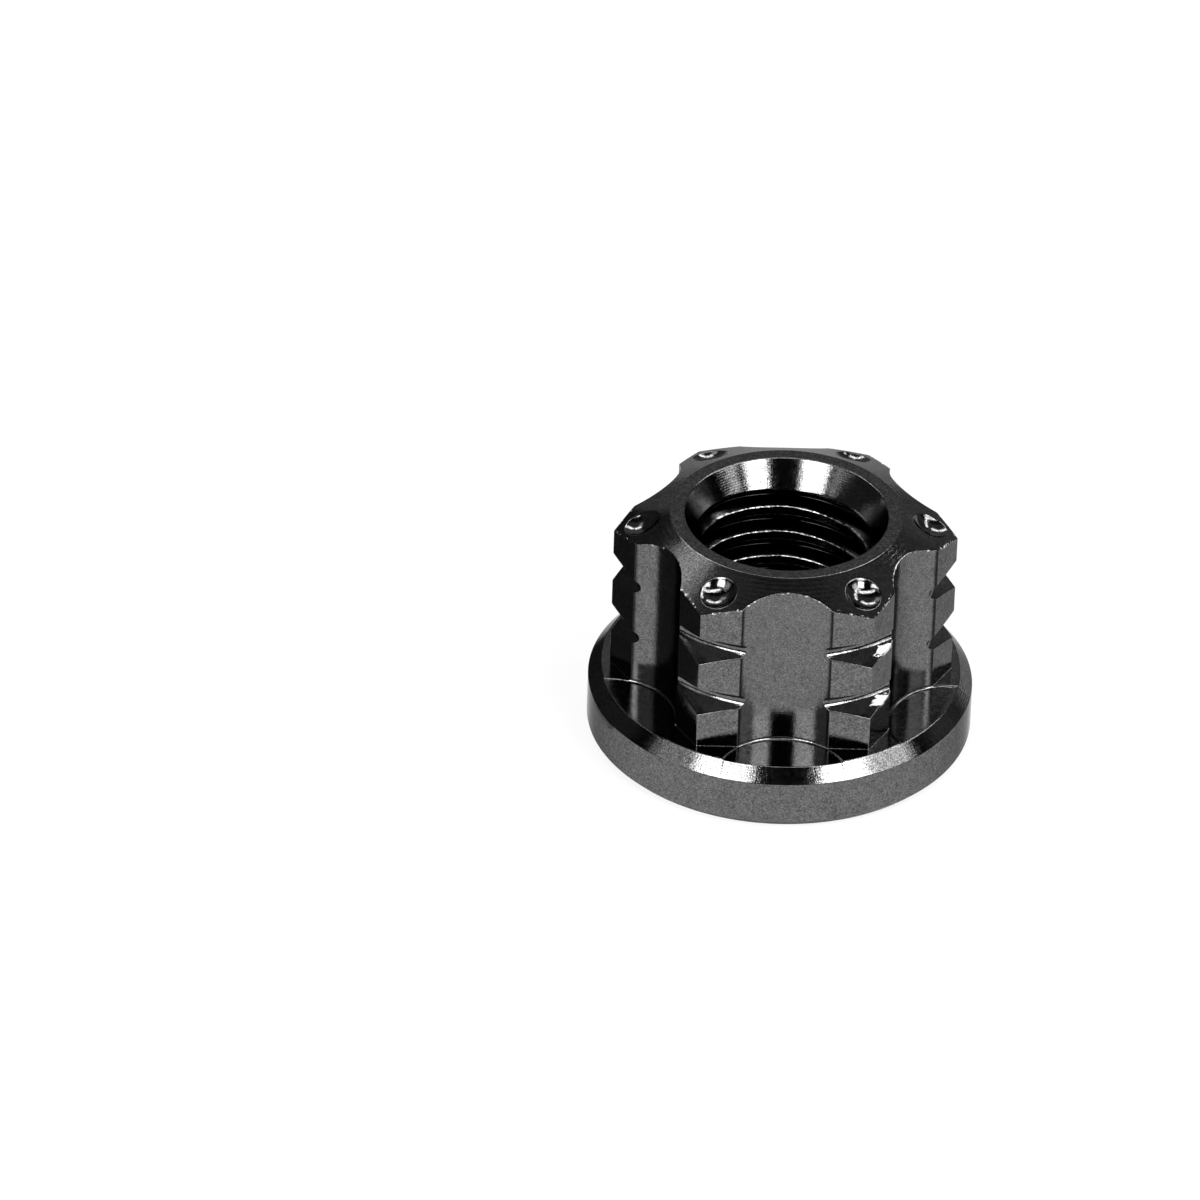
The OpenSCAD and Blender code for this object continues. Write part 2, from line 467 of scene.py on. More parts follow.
def dimple_rows():
    """Rows of points along all rays: over the slope to the rim, across the rounded rim on a parabola,
    and down the bowl."""
    outer, inner = rim_d + EDGE, rim_d - EDGE
    flats = [outer + (far_d - outer) * share for share in SLOPE_ROWS]
    bowls = [inner * share for share in BOWL_ROWS]
    rim = np.array([[outer, slope_at(outer)], [rim_d, slope_at(rim_d)], [inner, ball_at(inner)]])
    rows = [(d, slope_at(d)) for d in flats] + [parabola(*rim, t) for t in RIM_ROWS]
    rows += [(d, ball_at(d)) for d in bowls]
    return np.stack([np.dstack([centres[:, None] + heading * d[..., None], z]) for d, z in rows], 1)


dimple_points = dimple_rows()
DIMPLE_ROWS = dimple_points.shape[1]
bowl_bottoms = np.column_stack([centres, ball_at(np.zeros_like(far_d))[:, 0]])
print(f"dimples: {SIDES} of {DIMPLE_ROWS} rows and {RAYS} rays")

# %% [markdown]
# ## Bore and thread
# The thread is a grid whose rows climb with the helix, so a crest's edge runs along a row and stays crisp.
# At every point the radius is the largest of three cuts: the thread's profile, and the two countersinks,
# which were cut with a cone at both ends. After one turn the rows meet those one pitch higher.

# %% Profile of the thread
BORE_R, THREAD_R, PITCH = 4.25, 4.9, 1.5
CREST_Z = 9.88                  # height of one thread crest on the bore's back wall
CREST_SOFT = 0.03               # how far a crest's corners are rounded
FLANK_TAN = math.tan(math.radians(30))
FLANK = (THREAD_R - BORE_R) * FLANK_TAN
CREST = 0.3 * PITCH
ROOT = PITCH - CREST - 2 * FLANK
FLANK_SHARES = np.array([0.2, 0.4, 0.6, 0.8, 0.94])
turn_places = np.concatenate([
    np.array([-0.5, -0.25, 0, 0.25, 0.5]) * (CREST - 2 * CREST_SOFT),
    CREST / 2 + np.array([0.0, CREST_SOFT]),
    CREST / 2 + FLANK * FLANK_SHARES,
    CREST / 2 + FLANK + ROOT * np.array([0.06, 0.5, 0.94]),
    PITCH - CREST / 2 - FLANK * FLANK_SHARES[::-1],
    PITCH - CREST / 2 - np.array([CREST_SOFT, 0.0]),
])
PER_TURN = len(turn_places)
crest_edges = np.abs(np.abs(turn_places - PITCH / 2) - (PITCH - CREST) / 2) < EDGE


def thread_r(place):
    """Radius of the thread at a place along one pitch, which starts at the middle of a crest: the
    crest's flat, a flank at 30 degrees, and the root's flat. The crest's corners are rounded by a
    parabola."""
    off_crest = np.abs((place + PITCH / 2) % PITCH - PITCH / 2)
    rise = (off_crest - CREST / 2) / FLANK_TAN
    soft_rise = (rise + CREST_SOFT) ** 2 / (4 * CREST_SOFT)
    return np.minimum(BORE_R + np.where(np.abs(rise) < CREST_SOFT, soft_rise, np.maximum(rise, 0)), THREAD_R)


print(f"thread: crest {CREST:.2f} mm, flank {FLANK:.2f} mm, root {ROOT:.2f} mm")

# %% The bore as a helical grid
TOP_SINK_R, TOP_SINK_H = 5.15, 1.4
SEAT_SINK_R, SEAT_SINK_H = 5.05, 0.8
RUN_OUT = (10.75, 11.2)         # heights of a root between which the last turn gets shallow and ends
MOUTH_EDGE = 0.03               # how far the countersinks' mouths are rounded
SPARE_TURNS = 3                 # turns past the bore's ends, which the ends then flatten
BORE_COLS = 180

TURNS = int(math.ceil(NUT_H / PITCH)) + SPARE_TURNS
bore_az = 2 * math.pi * np.arange(BORE_COLS) / BORE_COLS
row_places = (turn_places[None, :] + PITCH * np.arange(TURNS)[:, None]).ravel()
climb = PITCH * (bore_az - math.pi / 2) / (2 * math.pi)
base_z = CREST_Z - PITCH * (math.ceil(CREST_Z / PITCH) + 1)
bore_z = np.clip(base_z + (row_places[:, None] + climb), MOUTH_EDGE, NUT_H - MOUTH_EDGE)
top_cone = TOP_SINK_R - (NUT_H - bore_z) * (TOP_SINK_R - BORE_R) / TOP_SINK_H
seat_cone = SEAT_SINK_R - bore_z * (SEAT_SINK_R - BORE_R) / SEAT_SINK_H
turn_z = bore_z - base_z - climb
root_z = bore_z + (0.5 - turn_z / PITCH % 1) * PITCH
fade = np.clip((RUN_OUT[1] - root_z) / (RUN_OUT[1] - RUN_OUT[0]), 0, 1)
depth = fade * fade * (3 - 2 * fade)
threaded = BORE_R + (thread_r(turn_z) - BORE_R) * depth
bore_r = np.maximum(threaded, np.maximum(top_cone, seat_cone))
bore = np.dstack([bore_r * np.cos(bore_az), bore_r * np.sin(bore_az), bore_z])
BORE_ROWS = len(bore)
print(f"bore: {BORE_ROWS} rows of {BORE_COLS} points, {PER_TURN} to a turn")

# %% Mouths of the two countersinks
def mouth_rows(mouth_r, mouth_z, cone_r, cone_z):
    """Three rings that round a countersink's mouth: the flat, the middle of a parabola, and the cone's
    first ring."""
    flat, mouth, cone = np.array([[mouth_r + MOUTH_EDGE, mouth_z], [mouth_r, mouth_z], [cone_r, cone_z]])
    rings = [flat, parabola(flat, mouth, cone, 0.5), cone]
    circle = np.column_stack([np.cos(bore_az), np.sin(bore_az)])
    return np.array([np.column_stack([r * circle, np.full(BORE_COLS, z)]) for r, z in rings])


top_mouth = mouth_rows(TOP_SINK_R, NUT_H, bore_r[-1, 0], NUT_H - MOUTH_EDGE)
seat_mouth = mouth_rows(SEAT_SINK_R, 0.0, bore_r[0, 0], MOUTH_EDGE)
MOUTH_ROWS = len(top_mouth)
print(f"mouths: {2 * TOP_SINK_R:.1f} mm at the top, {2 * SEAT_SINK_R:.1f} mm at the seat")

# %% [markdown]
# ## One closed skin
# All the parts are put into one list of points and one list of faces. Points that fall together are welded,
# faces that have shrunk to a line are left out, and what remains is one closed surface. Every point carries
# three values for the finish: its mark, its painted shade, and whether it lies on a rounded edge inside
# the bore.

# %% All points and their values
grids = [skin, dimple_points, bore, top_mouth, seat_mouth, bowl_bottoms]
points = [grid.reshape(-1, 3) for grid in grids]
counts = [len(p) for p in points]
SKIN, DIMPLES, BORE, TOP, SEAT, BOTTOMS = np.cumsum([0] + counts[:-1])     # number of each grid's first point
marks = np.concatenate([np.repeat(skin_marks, COLS), np.full(counts[1], SUNK), np.full(counts[2], GROOVE),
                        np.full(counts[3] + counts[4], TURNED), np.full(counts[5], SUNK)])
mouth_edges = np.repeat([0.0, 1.0, 0.0], BORE_COLS)
edges = np.concatenate([np.zeros(BORE), np.repeat(np.tile(crest_edges, TURNS), BORE_COLS),
                        mouth_edges, mouth_edges, np.zeros(counts[5])])
shades = np.append(skin_shades.ravel(), np.zeros(sum(counts[1:])))
print(f"points: {sum(counts)} before welding")

# %% All faces
def outside_quads():
    """The outside's quads without those that lie on a lobe's top, where the dimple's rays take over."""
    row_of, col_of = outside[:, 0] // COLS, outside[:, 0] % COLS
    lobe_gap = (col_of[:, None] - corner_cols[None, :] + COLS // 2) % COLS - COLS // 2
    on_lobe = ((lobe_gap >= -REACH) & (lobe_gap < REACH)).any(1)
    return outside[~(on_lobe & (row_of >= RING_ROW) & (row_of < LIP_ROW))]


def dimple_faces():
    """Quads between the border and the first row, between rows, and triangles to the middle of each
    bowl."""
    own = DIMPLES + np.arange(counts[1]).reshape(SIDES, DIMPLE_ROWS, RAYS)
    rows = np.concatenate([loops[:, None, :], own], axis=1)
    here, there = rows[:, :-1], rows[:, 1:]
    quads = np.stack([here, np.roll(here, -1, 2), np.roll(there, -1, 2), there], -1).reshape(-1, 4)
    last = rows[:, -1]
    bottom = np.repeat(BOTTOMS + np.arange(SIDES)[:, None], RAYS, 1)
    fans = np.stack([last, np.roll(last, -1, 1), bottom], -1).reshape(-1, 3)
    return quads, fans


dimple_quads, dimple_fans = dimple_faces()
quads = np.vstack([
    outside_quads(),
    dimple_quads,
    grid_quads(BORE, BORE_ROWS, BORE_COLS, shift=PER_TURN),
    grid_quads(TOP, MOUTH_ROWS, BORE_COLS),
    grid_quads(SEAT, MOUTH_ROWS, BORE_COLS),
])
seat_ring = (ROWS - 1) * COLS + np.arange(COLS)
triangles = np.vstack([
    zip_rings(np.arange(COLS), AZ, TOP + np.arange(BORE_COLS), bore_az),
    zip_rings(seat_ring, AZ, SEAT + np.arange(BORE_COLS), bore_az),
    dimple_fans,
])
print(f"faces: {len(quads)} quads and {len(triangles)} triangles before welding")

# %% Weld
WELD_STEP = 1e-5            # a hundredth of a micron
WELD_OFFSET = 0.37          # keeps round sizes away from where one step ends and the next begins


def weld(points, quads, triangles):
    """Points in the same cell of a lattice of WELD_STEP become one. A quad that loses a corner becomes a
    triangle, and a face that loses two is left out. The result is the numbers of the kept points, and
    the faces."""
    cells = np.floor(points / WELD_STEP + WELD_OFFSET).astype(np.int64)
    _, first, same = np.unique(cells, axis=0, return_index=True, return_inverse=True)
    faces = same.ravel()[np.vstack([quads, np.column_stack([triangles, triangles[:, :1]])])]
    faces = [list(dict.fromkeys(f)) for f in faces.tolist()]
    faces = [f for f in faces if len(f) > 2]
    used, packed = np.unique(np.concatenate([np.array(f) for f in faces]), return_inverse=True)
    lengths = np.cumsum([len(f) for f in faces])[:-1]
    return first[used], [f.tolist() for f in np.split(packed, lengths)]


all_points = np.vstack(points)
kept, nut_faces = weld(all_points, quads, triangles)
print(f"skin: {len(kept)} points, {len(nut_faces)} faces, {sum(len(f) - 2 for f in nut_faces)} triangles")

# %% [markdown]
# ## Shading that follows the broad faces
# A smooth surface blends its shading over every edge. On a machined part the broad faces must stay flat and
# only the thin rounded bands may bend. So each point's normal is the sum of its faces' normals times their
# areas: the broad faces win, and the change of direction stays inside the bands.

# %% Helpers that finish a mesh
def face_outwards(mesh):
    """Turns all faces the same way, and outwards: the signed volume of a closed surface is positive
    then."""
    work = bmesh.new()
    work.from_mesh(mesh)
    bmesh.ops.recalc_face_normals(work, faces=work.faces)
    open_edges = sum(1 for e in work.edges if len(e.link_faces) != 2)
    volume = work.calc_volume(signed=True)
    if volume < 0:
        bmesh.ops.reverse_faces(work, faces=work.faces)
    work.to_mesh(mesh)
    work.free()
    print(f"{mesh.name}: {open_edges} edges without two faces, volume {abs(volume) / MM ** 3:.1f} mm3")


def read(items, key, width=1, kind=float):
    """One value, or a row of them, of each item, as an array."""
    values = np.empty(len(items) * width, kind)
    items.foreach_get(key, values)
    return values.reshape(-1, width) if width > 1 else values


def weigh_normals(mesh):
    """Each point's normal is the sum over its faces of the normal times the area, made one long."""
    weighted = read(mesh.polygons, "normal", 3) * read(mesh.polygons, "area")[:, None]
    weighted = np.repeat(weighted, read(mesh.polygons, "loop_total", kind=int), axis=0)
    corner = read(mesh.loops, "vertex_index", kind=int)
    summed = np.column_stack([np.bincount(corner, weighted[:, k], len(mesh.vertices)) for k in range(3)])
    size = np.linalg.norm(summed, axis=1, keepdims=True)
    mesh.normals_split_custom_set_from_vertices(summed / np.maximum(size, TINY ** 2))


# %% Make the mesh
def add_piece(name, points, faces, attributes):
    """A mesh object at the origin, with its points given in millimetres and stored in metres, one value
    per point for each attribute, and normals that are weighted by area."""
    mesh = bpy.data.meshes.new(name)
    mesh.from_pydata((points * MM).tolist(), [], faces)
    mesh.validate()
    piece = bpy.data.objects.new(name, mesh)
    bpy.context.scene.collection.objects.link(piece)
    face_outwards(mesh)
    for key, values in attributes.items():
        layer = mesh.attributes.new(key, "FLOAT", "POINT")
        layer.data.foreach_set("value", np.asarray(values, np.float32))
    mesh.shade_smooth()
    weigh_normals(mesh)
    return piece


nut = add_piece("nut_skin", all_points[kept], nut_faces,
                {"turned": marks[kept], "edge": edges[kept], "shade": shades[kept]})
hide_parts(NODE)
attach(nut, "root")

# %% [markdown]
# ## Tools for finishes
# A finish is a tree of nodes, which is worked out anew wherever a ray lands. By hand it is made by dragging
# wires from node to node. In a script a small class keeps every node to one line. The patterns follow from
# the place on the nut in millimetres, so they stay with the nut when it moves.

# %% A helper for node trees
class Tree:
    """Adds nodes to a material or a world in one line each. A value that is a socket is linked, and any
    other value is set. Sockets go by their label, with underscores for spaces, or by an underscore and
    their number."""

    def __init__(self, owner):
        owner.use_nodes = True
        self.owner = owner
        self.nodes, self.links = owner.node_tree.nodes, owner.node_tree.links
        self.nodes.clear()

    def add(self, kind, settings=None, **sockets):
        node = self.nodes.new(kind)
        for key, value in (settings or {}).items():
            setattr(node, key, value)
        for key, value in sockets.items():
            socket = node.inputs[int(key[1:])] if key[0] == "_" else node.inputs[key.replace("_", " ")]
            if isinstance(value, bpy.types.NodeSocket):
                self.links.new(value, socket)
            else:
                socket.default_value = value
        return node

    def math(self, operation, *values):
        """The operation on the first two values, then on that result and the next value, and so on."""
        result = values[0]
        if len(values) == 1:
            return self.add("ShaderNodeMath", {"operation": operation}, _0=result).outputs[0]
        for value in values[1:]:
            result = self.add("ShaderNodeMath", {"operation": operation}, _0=result, _1=value).outputs[0]
        return result

    def vector(self, x, y, z):
        return self.add("ShaderNodeCombineXYZ", X=x, Y=y, Z=z).outputs[0]

    def length(self, vector):
        return self.add("ShaderNodeVectorMath", {"operation": "LENGTH"}, _0=vector).outputs["Value"]

    def blend(self, share, a, b):
        """(1 - share) times a plus share times b."""
        return self.add("ShaderNodeMix", {"data_type": "FLOAT"}, _0=share, _2=a, _3=b).outputs[0]


# %% Places, noises and ranges
USED_NOISE = (0.2, 0.8)     # nearly all of a noise's values lie between these


def nut_places(t):
    """Places on the nut in millimetres, as a vector, and as the direction round the axis, x and y over
    the radius, the height and the radius."""
    where = t.add("ShaderNodeTexCoord").outputs["Object"]
    mm = t.add("ShaderNodeMapping", Vector=where, Scale=(1 / MM, 1 / MM, 1 / MM)).outputs[0]
    x, y, z = t.add("ShaderNodeSeparateXYZ", _0=mm).outputs
    radius = t.math("SQRT", t.math("ADD", t.math("MULTIPLY", x, x), t.math("MULTIPLY", y, y)))
    return mm, t.math("DIVIDE", x, radius), t.math("DIVIDE", y, radius), z, radius


def noise(t, vector, scale, detail=2.0, roughness=0.6):
    """Noise between 0 and 1, half on average."""
    node = t.add("ShaderNodeTexNoise", Vector=vector, Scale=scale, Detail=detail, Roughness=roughness)
    return node.outputs["Fac"]


def span(t, value, low, high, out_low=0.0, out_high=1.0):
    """The value mapped from low and high to two other values, and held there."""
    return t.add("ShaderNodeMapRange", Value=value, _1=low, _2=high, _3=out_low, _4=out_high).outputs[0]


def swing(t, value, amount):
    """The noise turned into a swing between minus and plus the amount."""
    return span(t, value, *USED_NOISE, -amount, amount)


print("tools for finishes: ready")

# %% [markdown]
# ## Worn places
# A black coating wears where it is thinnest and where it is touched: as specks along the edges that the
# lathe cut through the milled walls, and as two torn patches where a burr was brushed off. Painting them by
# hand is possible, but their places follow from the shape, so they are worked out.

# %% Specks under the edges
WEAR_DEEP = (0.02, 0.10)        # how far below an edge the specks start to thin out, and where they end
WEAR_TOP = (-0.06, -0.04)       # the same above the edge, where nothing is worn
SPECK_GRAIN, SPECK_CUT = 5.0, (0.54, 0.64)


def edge_wear(t, mm, z, radius, turned):
    """Specks of bare metal on the milled walls, just under the edges where the lathe cut through them.
    The gap is the height that is missing to such an edge: the sloping top, and the lower lip of each
    groove."""
    out = t.math("SUBTRACT", radius, RING_R)
    edge_heights = [t.math("SUBTRACT", NUT_H, t.math("MULTIPLY", out, TOP_SLOPE))]
    for groove_z in GROOVE_Z:
        drop = t.math("MULTIPLY", t.math("SUBTRACT", radius, APEX), math.tan(GROOVE_HALF))
        edge_heights.append(t.math("SUBTRACT", groove_z, drop))
    near = 0.0
    for height in edge_heights:
        gap = t.math("SUBTRACT", height, z)
        band = t.math("MULTIPLY", span(t, gap, *WEAR_DEEP, 1.0, 0.0), span(t, gap, *WEAR_TOP))
        near = t.math("MAXIMUM", near, band)
    speck = span(t, noise(t, mm, SPECK_GRAIN, 3.0), *SPECK_CUT)
    on_milled = span(t, turned, 0.1, 0.3, 1.0, 0.0)
    return t.math("MULTIPLY", near, speck, on_milled)


# %% Scuffed patches
SCUFF_AT, SCUFF_DROP = (4.85, -6.3), 0.47   # where on the plan, and how far below the groove's middle
SCUFF_TURN = math.radians(50)
SCUFF_SIZE = (0.95, 0.42, 0.42)             # half its length, width and height
SCUFF_GRAIN = (2.2, 2.2, 12.0)
SCUFF_HOLD, SCUFF_CUT = 0.75, (-0.22, -0.14)    # how strongly its middle holds together, and where it tears


def scuffs(t, mm, turned):
    """How scuffed a place is: bare metal where a burr was brushed off the lower side of both grooves, at
    the end where the mill left it. A noise that is stretched along the groove tears the patch up, most
    at its border."""
    stretched = t.add("ShaderNodeMapping", Vector=mm, Scale=SCUFF_GRAIN).outputs[0]
    inner = 0.0
    for groove_z in GROOVE_Z:
        middle = (*SCUFF_AT, groove_z - SCUFF_DROP)
        local = t.add("ShaderNodeMapping", {"vector_type": "TEXTURE"}, Vector=mm, Location=middle,
                      Rotation=(0.0, 0.0, SCUFF_TURN), Scale=SCUFF_SIZE).outputs[0]
        inner = t.math("MAXIMUM", inner, span(t, t.length(local), 0.0, 1.0, 1.0, 0.0))
    torn = t.math("SUBTRACT", t.math("MULTIPLY", inner, SCUFF_HOLD), noise(t, stretched, 1.0, 4.0))
    return t.math("MULTIPLY", span(t, torn, *SCUFF_CUT), span(t, turned, 0.2, 0.4))


print("wear: specks up to", WEAR_DEEP[1], "mm below the edges, scuffs in", len(GROOVE_Z), "grooves")

# %% [markdown]
# ## The black coating
# The coating is thin, hard and nearly black, and it shines like dark chrome: it returns about an eighth of
# the light. Everything that is seen on it is a reflection, so its colour is one dark grey, as a metal, and
# its life is in the fine relief that the lathe and the mill left under it. A picture of scratches could be
# laid on, but it would show its seams, so the relief is made of noises and waves, which have none.

# %% Relief that the tools left
GRAIN_MM = 0.004                        # height of the relief under the coating
FINE, MEDIUM, BROAD = 15.0, 4.0, 0.8    # how fine each noise is, in bumps to a millimetre
FINE_DEPTH, MEDIUM_DEPTH = 0.8, 0.9
RINGS, RING_DEPTH = 15.0, 0.3           # turned rings to a millimetre
RING_DRIFT = 3.0                        # how fast the rings change on the way round
CHATTER, CHATTER_DEPTH = 100.0, 0.6     # how fine the chatter marks are on the way round
CHATTER_CLIMB = 0.5                     # how fast they change with the height
FEED, FEED_DEPTH = 0.11, 0.18           # how far the lathe's tool climbs in one turn


def lathe_marks(t, turn_x, turn_y, z, radius):
    """Rings are a noise of the radius and the height, chatter is a noise of the direction round the
    axis, and the feed marks are a sine wave of the height."""
    drift = t.math("ADD", t.math("MULTIPLY", turn_x, RING_DRIFT), t.math("MULTIPLY", turn_y, RING_DRIFT))
    ring_place = t.vector(t.math("MULTIPLY", radius, RINGS), t.math("MULTIPLY", z, RINGS), drift)
    chatter_place = t.vector(t.math("MULTIPLY", turn_x, CHATTER), t.math("MULTIPLY", turn_y, CHATTER),
                             t.math("MULTIPLY", z, CHATTER_CLIMB))
    feed = t.math("SINE", t.math("MULTIPLY", z, 2 * math.pi / FEED))
    return t.math("ADD", t.math("MULTIPLY", noise(t, ring_place, 1.0, 3.0), RING_DEPTH),
                  t.math("MULTIPLY", noise(t, chatter_place, 1.0), CHATTER_DEPTH),
                  t.math("MULTIPLY", feed, FEED_DEPTH))


# %% Greys of the coating
GREY, BARE = 0.135, 0.95                # share of light that the coating and the bare metal return
FINE_SWING, MEDIUM_SWING, BROAD_SWING = 0.85, 0.25, 0.12
SPECKLE, SPECKLE_SWING = 9.0, 0.4       # how fine the speckle of turned faces is, and how strong
LEAST = 0.1                             # of the coating's grey
BORE_EDGE_R, BORE_EDGE_Z = (4.95, 5.1), (10.95, 11.1)   # where the bore's painted shade gives way to the outside
# painted shade in the thread, from the crests to the roots
CREST_TO_ROOT, CREST_TO_ROOT_SHADE = (4.3, 4.5), (0.35, 0.12)
CREST_CUT, CREST_GREY = (0.42, 0.6), (0.1, 2.5)         # where a crest's edge is lighter, and by how much
EDGE_GREY = 0.15                        # what the painted dark line at a flute's edge leaves of the grey


def painted_bore_shade(t, medium, z, radius):
    """How much of the grey is left in the bore: a painted shade that stands in for its deep shadow. It is
    little in the thread, least in its roots, and more, in places, on the crests' edges. Outside the bore it
    is all of it."""
    outside = t.math("MAXIMUM", span(t, radius, *BORE_EDGE_R), span(t, z, *BORE_EDGE_Z))
    crest = t.add("ShaderNodeAttribute", {"attribute_name": "edge"}).outputs["Fac"]
    lighter_crest_edge = t.math("MULTIPLY", crest, span(t, medium, *CREST_CUT, *CREST_GREY))
    thread = t.math("ADD", span(t, radius, *CREST_TO_ROOT, *CREST_TO_ROOT_SHADE), lighter_crest_edge)
    return t.blend(outside, thread, 1.0)


def mottle(t, mm, fine, medium, turned):
    """One, with the swings of three noises added, and of a fourth on turned faces, and not less than
    LEAST."""
    speckle = t.math("MULTIPLY", swing(t, noise(t, mm, SPECKLE, 3.0), SPECKLE_SWING), turned)
    swings = t.math("ADD", swing(t, medium, MEDIUM_SWING), swing(t, noise(t, mm, BROAD), BROAD_SWING))
    fine_part = span(t, fine, *USED_NOISE, 1 - FINE_SWING, 1 + FINE_SWING)
    return t.math("MAXIMUM", t.math("ADD", fine_part, swings, speckle), LEAST)


# %% The finish
POLISH = (0.3, 0.7, 0.07, 0.12)         # two values of the medium noise, and the roughness at each
BARE_ROUGH = 0.45                       # how much rougher bare metal is
GRAZING = 0.45                          # share of the light that is returned at a grazing angle


def coating():
    """Dark metal with a relief and a mottled grey, with a painted shade in the bore. Worn places are mixed
    towards bare metal, and the lines at the flutes' edges are darkened by a painted dark reflection."""
    t = Tree(bpy.data.materials.new("black_coating"))
    mm, turn_x, turn_y, z, radius = nut_places(t)
    turned = t.add("ShaderNodeAttribute", {"attribute_name": "turned"}).outputs["Fac"]
    fine, medium = noise(t, mm, FINE), noise(t, mm, MEDIUM, 3.0)
    marks_part = t.math("MULTIPLY", turned, lathe_marks(t, turn_x, turn_y, z, radius))
    relief = t.math("ADD", t.math("MULTIPLY", fine, FINE_DEPTH), t.math("MULTIPLY", medium, MEDIUM_DEPTH),
                    marks_part)
    bump = t.add("ShaderNodeBump", Strength=1.0, Distance=GRAIN_MM * MM, Height=relief).outputs[0]
    # the grey is darkened in the bore by a painted shade that stands in for its deep shadow
    grey = t.math("MULTIPLY", mottle(t, mm, fine, medium, turned), GREY, painted_bore_shade(t, medium, z, radius))
    wear = t.math("MAXIMUM", edge_wear(t, mm, z, radius, turned), scuffs(t, mm, turned))
    # the shade darkens the colour at the flutes' edges: a painted dark reflection
    shade = t.add("ShaderNodeAttribute", {"attribute_name": "shade"}).outputs["Fac"]
    seen = t.math("MULTIPLY", t.blend(wear, grey, BARE), span(t, shade, 0.0, 1.0, 1.0, EDGE_GREY))
    colour = t.add("ShaderNodeCombineColor", Red=seen, Green=seen, Blue=seen).outputs[0]
    rough = t.math("ADD", span(t, medium, *POLISH), t.math("MULTIPLY", wear, BARE_ROUGH))
    shader = t.add("ShaderNodeBsdfPrincipled", Base_Color=colour, Metallic=1.0, Roughness=rough,
                   Specular_Tint=(GRAZING, GRAZING, GRAZING, 1.0), Normal=bump)
    t.add("ShaderNodeOutputMaterial", Surface=shader.outputs[0])
    return t.owner


nut.data.materials.append(coating())
print("finish: black coating on", nut.name)

# %% [markdown]
# ## A dark block beside the nut
# A dark block stands close to the nut's left side, out of sight of the camera. Only reflections see it: it
# turns the faces that look left to black, next to faces that mirror the white table, and so gives the nut
# its contrast.

# %% The block
BLOCK_LOW, BLOCK_HIGH = (-31.0, -3.2, 0.2), (-11.5, 12.0, 19.0)     # its two far corners, in millimetres
BLOCK_GREY = 0.055


def stage_mesh(name, points, faces, material):
    """A plain mesh object at the origin, with points in metres and one material."""
    mesh = bpy.data.meshes.new(name)
    mesh.from_pydata(points.tolist(), [], faces)
    mesh.materials.append(material)
    thing = bpy.data.objects.new(name, mesh)
    bpy.context.scene.collection.objects.link(thing)
    return thing


def dark_card():
    """A surface that glows with the same dark grey to all sides, whatever light falls on it."""
    t = Tree(bpy.data.materials.new("dark_card"))
    glow = t.add("ShaderNodeEmission", Color=(BLOCK_GREY, BLOCK_GREY, BLOCK_GREY, 1)).outputs[0]
    t.add("ShaderNodeOutputMaterial", Surface=glow)
    return t.owner


(x0, y0, z0), (x1, y1, z1) = BLOCK_LOW, BLOCK_HIGH
block_corners = np.array([[x, y, z] for z in (z0, z1) for x, y in ((x0, y0), (x1, y0), (x1, y1), (x0, y1))])
block_faces = [[3, 2, 1, 0], [4, 5, 6, 7], [0, 1, 5, 4], [1, 2, 6, 5], [2, 3, 7, 6], [3, 0, 4, 7]]
block = stage_mesh("dark_block", block_corners * MM, block_faces, dark_card())
block.visible_camera = block.visible_shadow = block.visible_diffuse = block.visible_transmission = False
print(f"dark block: {-x1 - FLANGE_R:.1f} mm left of the flange")

# %% [markdown]
# ## Floor
# The nut stands on a plain white table. The table is drawn as a pale matt surface that also glows a little
# for the camera and for reflections, so that it reads as white paper does and still takes a faint shadow.
# Right round the nut the paper lies in its shadow, so the glow that the nut mirrors starts a little way
# out. Seen from below the table is clear, so that the seat can be looked at.

# %% The floor and its finish
FLOOR_HALF = 3.0
PAPER, GLOW = 0.86, 0.85        # grey of the matt paper, and the share of the glow in what is seen
SHADOW = (9.35, 10.4)           # distances in millimetres between which the mirrored glow starts


def paper():
    """White paper: a glow for camera, glossy and transmitted rays, over a matt white, and clear from
    behind."""
    t = Tree(bpy.data.materials.new("white_paper"))
    ray = t.add("ShaderNodeLightPath").outputs
    away = t.length(t.add("ShaderNodeTexCoord").outputs["Object"])
    clear_of_nut = t.add("ShaderNodeMapRange", {"interpolation_type": "SMOOTHSTEP"}, Value=away,
                         _1=SHADOW[0] * MM, _2=SHADOW[1] * MM, _3=0.0, _4=1.0).outputs[0]
    mirrored = t.math("MAXIMUM", ray["Is Glossy Ray"], ray["Is Transmission Ray"])
    mirrored = t.math("MULTIPLY", mirrored, clear_of_nut)
    glowing = t.math("MULTIPLY", t.math("MAXIMUM", ray["Is Camera Ray"], mirrored), GLOW)
    matt = t.add("ShaderNodeBsdfDiffuse", Color=(PAPER, PAPER, PAPER, 1)).outputs[0]
    glow = t.add("ShaderNodeEmission", Color=(1, 1, 1, 1), Strength=1.0).outputs[0]
    white = t.add("ShaderNodeMixShader", _0=glowing, _1=matt, _2=glow).outputs[0]
    behind = t.add("ShaderNodeNewGeometry").outputs["Backfacing"]
    clear = t.add("ShaderNodeBsdfTransparent").outputs[0]
    final = t.add("ShaderNodeMixShader", _0=behind, _1=white, _2=clear).outputs[0]
    t.add("ShaderNodeOutputMaterial", Surface=final)
    return t.owner


floor_corners = np.array([[-1, -1, 0], [1, -1, 0], [1, 1, 0], [-1, 1, 0]]) * FLOOR_HALF
floor = stage_mesh("floor", floor_corners, [[0, 1, 2, 3]], paper())
print("floor: paper", 2 * FLOOR_HALF, "m wide")

